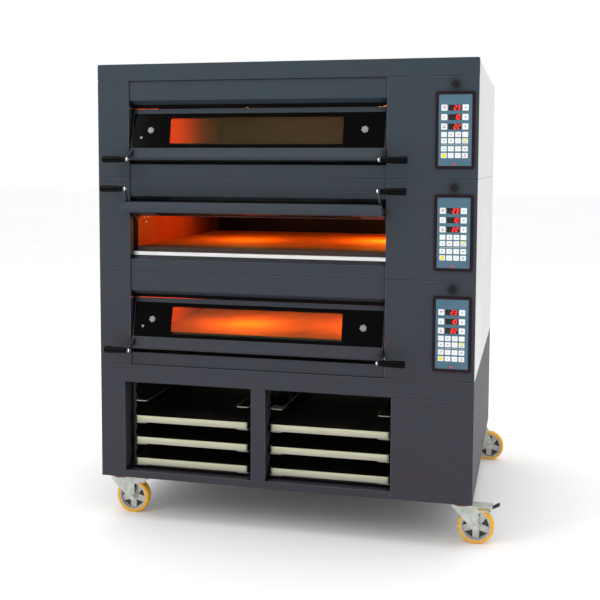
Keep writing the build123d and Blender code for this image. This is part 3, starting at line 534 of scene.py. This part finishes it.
def add_object(name, data):
    """A new object in the scene."""
    item = bpy.data.objects.new(name, data)
    bpy.context.scene.collection.objects.link(item)
    return item


def finish_piece(name, mesh, material, body, smooth=False):
    """Turns a bmesh into an object with a material, riding on a body."""
    data = bpy.data.meshes.new(name)
    bmesh.ops.recalc_face_normals(mesh, faces=mesh.faces)
    mesh.to_mesh(data)
    mesh.free()
    piece = add_object(name, data)
    data.materials.append(material)
    if smooth:
        data.shade_smooth()
        data.set_sharp_from_angle(angle=crease_angle)
    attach(piece, body)
    return piece


def lathe(mesh, profile, place, steps=40):
    """Adds a body of revolution: profile is (distance, radius) points, place maps local X to its axis."""
    turn = [math.tau * i / steps for i in range(steps)]
    rings = []
    for along, radius in profile:
        if radius == 0:
            rings.append([mesh.verts.new(place @ Vector((along, 0, 0)))])
        else:
            rings.append([mesh.verts.new(place @ Vector((along, radius * math.cos(a), radius * math.sin(a))))
                          for a in turn])
    for first, second in zip(rings, rings[1:]):
        for i in range(steps):
            corners = [first[i % len(first)], first[(i + 1) % len(first)],
                       second[(i + 1) % len(second)], second[i % len(second)]]
            unique = list(dict.fromkeys(corners))
            if len(unique) > 2:
                mesh.faces.new(unique)


def rounded_end(end, radius, corner, steps=5):
    """The far end of a lathe profile, with a rounded edge and closed on the axis."""
    points = []
    for i in range(steps + 1):
        a = math.pi / 2 * i / steps
        points.append((end - corner + corner * math.sin(a), radius - corner + corner * math.cos(a)))
    return [*points, (end, 0)]


def slab(mesh, outline, near, far):
    """Adds a flat slab between depths near and far, from a front-facing outline of (x, z) points."""
    front = [mesh.verts.new((x, near, z)) for x, z in outline]
    back = [mesh.verts.new((x, far, z)) for x, z in outline]
    mesh.faces.new(front)
    mesh.faces.new(back[::-1])
    for i in range(len(outline)):
        j = (i + 1) % len(outline)
        mesh.faces.new((front[i], back[i], back[j], front[j]))


def disc(x, z, radius, steps=24):
    """A circle's outline round (x, z)."""
    return [(x + radius * math.cos(math.tau * i / steps), z + radius * math.sin(math.tau * i / steps))
            for i in range(steps)]


def rectangle(x, z, width, height):
    """A rectangle's outline round (x, z)."""
    w, h = width / 2, height / 2
    return [(x - w, z - h), (x + w, z - h), (x + w, z + h), (x - w, z + h)]


# ======================= Keypads =======================

# Heights and columns are from the keypad's middle.
key_columns = (-0.036, -0.013, 0.010, 0.033)
key_rows = (-0.014, -0.035, -0.061, -0.083)
display_rows = (0.074, 0.043, 0.012)
display_values = ("23", "10", "22")
print_axis, line_height, round_mark_height = -0.0015, -0.048, -0.111
ink_thick = 0.0002
lit_thick = 0.0003

# Seven-segment digits: the lit pair by its middle, the unlit pair by its first digit.
digit_height, digit_width, bar_thick, bar_gap, slant = 0.0135, 0.0072, 0.0020, 0.0004, 0.12
lit_middle, lit_pitch = 0.0055, 0.011025
unlit_first, unlit_pitch = -0.0165, 0.0095
segments_of = {"0": "abcdef", "1": "bc", "2": "abged", "3": "abgcd", "8": "abcdefg"}

# Each keypad has one piece of each of these.
inks = {
    "digits": glow("led_red", (1.0, 0.02, 0.012), 2.6),
    "ghosts": plain_grained("led_unlit", (0.016, 0.005, 0.005), (0.026, 0.008, 0.008), (0.3, 0.4), scale=900),
    "red": plain_grained("print_red", (0.55, 0.03, 0.035), (0.68, 0.05, 0.05), (0.35, 0.45), scale=900),
    "grey": plain_grained("print_grey", (0.16, 0.17, 0.20), (0.26, 0.27, 0.30), (0.35, 0.45), scale=900),
    "yellow": plain_grained("print_yellow", (0.70, 0.62, 0.01), (0.84, 0.76, 0.02), (0.35, 0.45), scale=900),
    "line": plain_grained("print_white", (0.66, 0.69, 0.70), (0.76, 0.79, 0.80), (0.35, 0.45), scale=900),
}


def digit_slabs(mesh, digit, x, z, thick):
    """One leaning seven-segment digit of pointed bars, standing proud of its window by thick."""
    half = digit_height / 2
    side = digit_width / 2
    centres = {"a": (0, half, False), "g": (0, 0, False), "d": (0, -half, False),
               "b": (side, half / 2, True), "c": (side, -half / 2, True),
               "e": (-side, -half / 2, True), "f": (-side, half / 2, True)}
    for segment in segments_of[digit]:
        bar_x, bar_z, upright = centres[segment]
        length = (half if upright else digit_width) / 2 - bar_gap
        tip = bar_thick / 2
        bar = [(-length, 0), (-length + tip, -tip), (length - tip, -tip), (length, 0),
               (length - tip, tip), (-length + tip, tip)]
        points = [(bar_x - v, bar_z + u) if upright else (bar_x + u, bar_z + v) for u, v in bar]
        leaning = [(x + px + pz * slant, z + pz) for px, pz in points]
        slab(mesh, leaning, window_y - thick, window_y + ink_thick)


def display_row(meshes, value, z):
    """Lit and unlit digits of one display, with the key marks on both sides of it."""
    left_x, right_x = keypad_x + key_columns[0], keypad_x + key_columns[-1]
    for place, digit in enumerate(value):
        digit_slabs(meshes["digits"], digit, keypad_x + lit_middle + (place - 0.5) * lit_pitch, z, lit_thick)
    for place in range(2):
        digit_slabs(meshes["ghosts"], "8", keypad_x + unlit_first + place * unlit_pitch, z, ink_thick)
    mark_left, mark_right, mark_foot, mark_top = left_x + 0.0065, left_x + 0.0095, z + 0.0058, z + 0.0092
    corner_mark = [(mark_left, mark_top), (mark_right, mark_top), (mark_right, mark_foot)]
    slab(meshes["red"], corner_mark, key_top_y - ink_thick, key_top_y + ink_thick)
    slab(meshes["grey"], disc(right_x, z, 0.0024), key_top_y - ink_thick, key_top_y + ink_thick)


def key_bars(middle_z):
    """Printed bars on the keys: ink, x, z, width and height."""
    columns = [keypad_x + column for column in key_columns]
    rows = [middle_z + row for row in key_rows]
    upper, centre, lower = (middle_z + row for row in display_rows)
    left_x = columns[0]
    bars = [("red", left_x, upper + 0.0022, 0.010, 0.0032),
            ("grey", left_x, upper - 0.0025, 0.010, 0.0014),
            ("red", left_x, lower - 0.0025, 0.009, 0.0034),
            ("grey", left_x, lower + 0.0030, 0.010, 0.0014)]
    for step in (-0.004, 0.001):
        bars += [("red", left_x - 0.003, centre + step, 0.0028, 0.0024),
                 ("grey", left_x + 0.002, centre + step, 0.0042, 0.0010)]
    bars += [("grey", columns[2] + 0.0048, rows[0], 0.0025, 0.0014),
             ("grey", columns[2], rows[1], 0.0072, 0.0012),
             ("grey", left_x, rows[2] + 0.002, 0.0080, 0.0012),
             ("grey", left_x, rows[2] - 0.002, 0.0080, 0.0012)]
    bars += [("grey", columns[column], rows[row], 0.0012, 0.0050) for column in (1, 2) for row in (2, 3)]
    bars += [("grey", columns[3], rows[2], 0.0090, 0.0030),
             ("grey", columns[3], rows[1] - 0.0035, 0.0110, 0.0026),
             ("yellow", columns[3], rows[1] + 0.0045, 0.0165, 0.0050),
             ("red", columns[3], rows[3] - 0.0030, 0.0080, 0.0018)]
    return bars


def key_dots(middle_z):
    """Printed dots on the keys: ink, x, z and radius."""
    columns = [keypad_x + column for column in key_columns]
    rows = [middle_z + row for row in key_rows]
    return [("grey", columns[1], rows[0], 0.0026),
            ("grey", columns[2], rows[0], 0.0019),
            ("grey", columns[0], rows[1], 0.0021),
            ("grey", columns[1], rows[1], 0.0024),
            ("yellow", columns[0], rows[3], 0.0070),
            ("grey", columns[3], rows[3] + 0.0022, 0.0024)]


def keypad_details(deck, middle_z):
    """Digits, printed marks, dividing line and round mark of one keypad."""
    meshes = {ink: bmesh.new() for ink in inks}
    for value, row in zip(display_values, display_rows):
        display_row(meshes, value, middle_z + row)
    on_keys = (key_top_y - ink_thick, key_top_y + ink_thick)
    for ink, x, z, width, height in key_bars(middle_z):
        slab(meshes[ink], rectangle(x, z, width, height), *on_keys)
    for ink, x, z, radius in key_dots(middle_z):
        slab(meshes[ink], disc(x, z, radius), *on_keys)
    on_face = (face_top_y - ink_thick, face_top_y + ink_thick)
    axis_x = keypad_x + print_axis
    slab(meshes["red"], disc(axis_x, middle_z + round_mark_height, 0.0042), *on_face)
    slab(meshes["line"], rectangle(axis_x, middle_z + line_height, 0.0860, 0.0010), *on_face)
    for ink, material in inks.items():
        finish_piece(f"keypad_{deck}_{ink}", meshes[ink], material, "root")


for deck, middle_z in zip(decks, keypad_z):
    keypad_details(deck, middle_z)


# ======================= Door furniture =======================

# Door coordinates, with the door shut: x from the body's left, y rearwards and z up from the hinge axis.
# The black sheet's top and foot as (y, z).
sheet_top, sheet_foot = (-0.021, 0.034), (-0.052, -0.088)
# Bolts in the black sheet: x, share of the way down the sheet, radius, sides and height.
sheet_bolts = ((0.195, 0.49, 0.0122, 6, 0.0060), (0.969, 0.49, 0.0130, 6, 0.0060),
               (0.160, 0.70, 0.0050, 24, 0.0032))
# Each arm's outer face is in from the end of the frame's box by the pin's length and its inset, left and right.
pin_length = 0.012
arm_insets, arm_thick = (0.008, 0.005), 0.005
grip_neck, grip_flare, grip_corner = 0.0094, 0.0033, 0.004
chrome = brushed("polished_chrome", (0.90, 0.90, 0.92), 0.05, 0.12, stretch=(1, 1, 1), scale=500)
grip_black = black_enamel("grip_phenolic", (0.0015, 0.0015, 0.0017), (0.09, 0.16), shine=0.06)
bolt_metal = plain_grained("bolt_steel", (0.20, 0.170, 0.195), (0.30, 0.265, 0.290), (0.30, 0.45), scale=400)


def door_place(deck):
    """Maps door coordinates to the door's rest place."""
    hinge = joints[f"{deck}_door_hinge"]
    opened = -min(hinge["range_deg"])
    _, y, z = hinge["pos_m"]
    return Matrix.Translation((body_low.x, y, z)) @ Matrix.Rotation(math.radians(-opened), 4, "X")


def domed_head(radius, height):
    """Profile of a washer, a low dome and a shallow drive recess."""
    return [(0, 0), (0, radius), (height * 0.25, radius), (height * 0.3, radius * 0.86),
            (height * 0.72, radius * 0.80), (height, radius * 0.52), (height, radius * 0.34),
            (height * 0.55, radius * 0.30), (height * 0.55, 0)]


def plain_head(radius, height):
    """Profile of a plain head with a chamfered top."""
    return [(0, 0), (0, radius), (height * 0.75, radius), (height, radius * 0.84), (height, 0)]


def turned_grip(length):
    """Profile of a grip: a collar by the arm, then a slow flare to a rounded end."""
    collar = [(0.0002, 0), (0.0002, 0.0085), (0.003, 0.0098), (0.010, grip_neck)]
    flare = [(length * share, grip_neck + grip_flare * share ** 0.7) for share in (0.3, 0.5, 0.7, 0.85)]
    return collar + flare + rounded_end(length, grip_neck + grip_flare, grip_corner)


def door_grips(deck):
    """Turned grips on the arms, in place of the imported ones, and their bolts inside the arms."""
    low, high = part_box(f"{deck}_door_grips")
    axis_y, axis_z = (low.y + high.y) / 2, (low.z + high.z) / 2
    frame_low, frame_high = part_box(f"{deck}_door_frame")
    to_right = Matrix.Rotation(0, 4, "Z")
    to_left = Matrix.Rotation(math.pi, 4, "Z")
    grips, heads = bmesh.new(), bmesh.new()
    for end, arm, outward, inward in (
            (low.x, frame_low.x + pin_length + arm_insets[0], to_left, to_right),
            (high.x, frame_high.x - pin_length - arm_insets[1], to_right, to_left)):
        place = Matrix.Translation((arm, axis_y, axis_z))
        lathe(grips, turned_grip(abs(end - arm)), place @ outward)
        lathe(heads, domed_head(0.0085, 0.0052), place @ inward @ Matrix.Translation((arm_thick, 0, 0)))
    grip_piece = finish_piece(f"{deck}_turned_grips", grips, grip_black, f"{deck}_door", smooth=True)
    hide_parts(f"{deck}_door_grips")
    finish_piece(f"{deck}_grip_bolts", heads, chrome, f"{deck}_door", smooth=True)


def door_bolts(deck):
    """Bolt heads on the black sheet, square to its slope."""
    bolts = bmesh.new()
    top, foot = Vector((0, *sheet_top)), Vector((0, *sheet_foot))
    outward = (foot - top).cross(Vector((1, 0, 0))).normalized()
    if outward.y > 0:
        outward = -outward
    turn = Vector((1, 0, 0)).rotation_difference(outward).to_matrix().to_4x4()
    for x, share, radius, sides, height in sheet_bolts:
        seat = Matrix.Translation(Vector((x, 0, 0)) + top.lerp(foot, share))
        lathe(bolts, plain_head(radius, height), door_place(deck) @ seat @ turn, steps=sides)
    finish_piece(f"{deck}_sheet_bolts", bolts, bolt_metal, f"{deck}_door", smooth=True)


for deck in decks:
    door_grips(deck)
    door_bolts(deck)


# ======================= Casters =======================

# Inner and outer radius and half thickness of the dark disc painted as shade between the spokes.
shade_disc_radii, shade_disc_half = (0.0125, 0.0475), 0.0012
# The keeper's near and far faces before the wheel's axle, and its drop below the fork's top.
keeper_near, keeper_far, keeper_drop = 0.0262, 0.0245, 0.0085
brass = plain_grained("brass", (0.30, 0.20, 0.06), (0.52, 0.38, 0.14), (0.22, 0.36), scale=400, metallic=0.9)
# dark tone painted as the shade between a wheel's spokes
spoke_shade_tone = plain_grained("spoke_gap_shade", (0.020, 0.018, 0.016), (0.060, 0.054, 0.048), (0.45, 0.6))


def spoke_gap_shade(place):
    """A thin dark disc between a wheel's spokes: painted shade where the gaps between the spokes are."""
    axle = Vector(joints[f"{place}_wheel_turn"]["pos_m"])
    inner, outer = shade_disc_radii
    corners = [(-shade_disc_half, inner), (-shade_disc_half, outer), (shade_disc_half, outer), (shade_disc_half, inner)]
    disc_mesh = bmesh.new()
    lathe(disc_mesh, [*corners, corners[0]], Matrix.Translation(axle) @ Matrix.Rotation(math.pi / 2, 4, "Z"))
    finish_piece(f"{place}_spoke_gap_shade", disc_mesh, spoke_shade_tone, f"{place}_wheel")


def brake_keeper():
    """A brass keeper on the near side of the brake housing."""
    right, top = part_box("caster_front_right_fork")[1].xz
    axle_y = joints["front_right_wheel_turn"]["pos_m"][1]
    outline = [(right + x, top - keeper_drop + z) for x, z in
               ((-0.052, -0.002), (-0.044, -0.0045), (-0.012, -0.0035),
                (-0.008, 0.001), (-0.012, 0.0035), (-0.044, 0.0035))]
    keeper = bmesh.new()
    slab(keeper, outline, axle_y - keeper_near, axle_y - keeper_far)
    finish_piece("brake_keeper", keeper, brass, "front_right_swivel")


for place in ("front_left", "front_right", "rear_left", "rear_right"):
    spoke_gap_shade(place)
brake_keeper()


# ======================= Stage, light and camera =======================

oven_middle = (0, 0, 0.85)
floor_size = 40
roof_above_hearth = 0.165
# Each chamber has a lamp by its right wall and a glow at its roof; depths are from the liner's front.
lamp_inset, lamp_depth, lamp_drop = 0.09, 0.50, 0.04
glow_x, glow_depth = -0.30, 0.40
# Watts of the lamp and of the glow. The open chamber needs less.
chamber_power = {"bottom": (11, 8), "middle": (4, 2.6), "top": (11, 8)}


def floor():
    """A wide pale floor under the wheels."""
    mesh = bmesh.new()
    bmesh.ops.create_grid(mesh, x_segments=8, y_segments=8, size=floor_size)
    data = bpy.data.meshes.new("studio_floor")
    mesh.to_mesh(data)
    mesh.free()
    ground = add_object("studio_floor", data)
    s = Surface("studio_floor", roughness=0.9, Specular_IOR_Level=0.1)
    s.colour(s.tones(s.noise(0.5, 2), (0.965, 0.965, 0.965), (0.985, 0.985, 0.985)))
    data.materials.append(s.material)


def area_light(name, at, target, size, power):
    """A soft white rectangle of light turned to a target."""
    light = bpy.data.lights.new(name, "AREA")
    light.shape = "RECTANGLE"
    light.size, light.size_y = size
    light.energy = power
    lamp = add_object(name, light)
    lamp.location = at
    lamp.rotation_euler = (Vector(target) - Vector(at)).to_track_quat("-Z", "Y").to_euler()


def chamber_light(name, at, power):
    """A warm lamp inside a chamber."""
    light = bpy.data.lights.new(name, "POINT")
    light.energy = power
    light.color = (1.0, 0.27, 0.03)
    light.shadow_soft_size = 0.04
    add_object(name, light).location = at


floor()
area_light("key_light", (-2.4, -3.6, 3.4), oven_middle, (0.5, 2.2), 26)
area_light("top_light", (0, -0.4, 5.5), (0, -0.4, 0), (5.0, 5.0), 110)
for i, deck in enumerate(decks):
    roof = hearth_low.z + roof_above_hearth + i * deck_pitch
    wall_power, roof_power = chamber_power[deck]
    lamp_place = (liner_high.x - lamp_inset, liner_low.y + lamp_depth, roof - lamp_drop)
    chamber_light(f"{deck}_wall_lamp", lamp_place, wall_power)
    chamber_light(f"{deck}_roof_glow", (glow_x, liner_low.y + glow_depth, roof), roof_power)

world = bpy.data.worlds.new("studio")
world.use_nodes = True
background = world.node_tree.nodes["Background"]
background.inputs["Color"].default_value = (1, 1, 1, 1)
background.inputs["Strength"].default_value = 1.0
bpy.context.scene.world = world
bpy.context.scene.view_settings.view_transform = "Standard"

camera_at = Vector((0.811, -3.826, 1.306))
camera_yaw, camera_pitch, camera_roll = math.radians(13.527), math.radians(4.417), math.radians(0.234)
forward = Vector((-math.sin(camera_yaw) * math.cos(camera_pitch),
                  math.cos(camera_yaw) * math.cos(camera_pitch), -math.sin(camera_pitch)))
level = Vector((math.cos(camera_yaw), math.sin(camera_yaw), 0))
upright = level.cross(forward)
across = math.cos(camera_roll) * level + math.sin(camera_roll) * upright
above = math.cos(camera_roll) * upright - math.sin(camera_roll) * level
camera_data = bpy.data.cameras.new("camera")
camera_data.sensor_width = 36
camera_data.lens = 58.34
camera_data.shift_y = -0.10
camera_data.clip_end = 200
camera = add_object("camera", camera_data)
camera.matrix_world = Matrix.Translation(camera_at) @ Matrix((across, above, -forward)).transposed().to_4x4()
bpy.context.scene.camera = camera
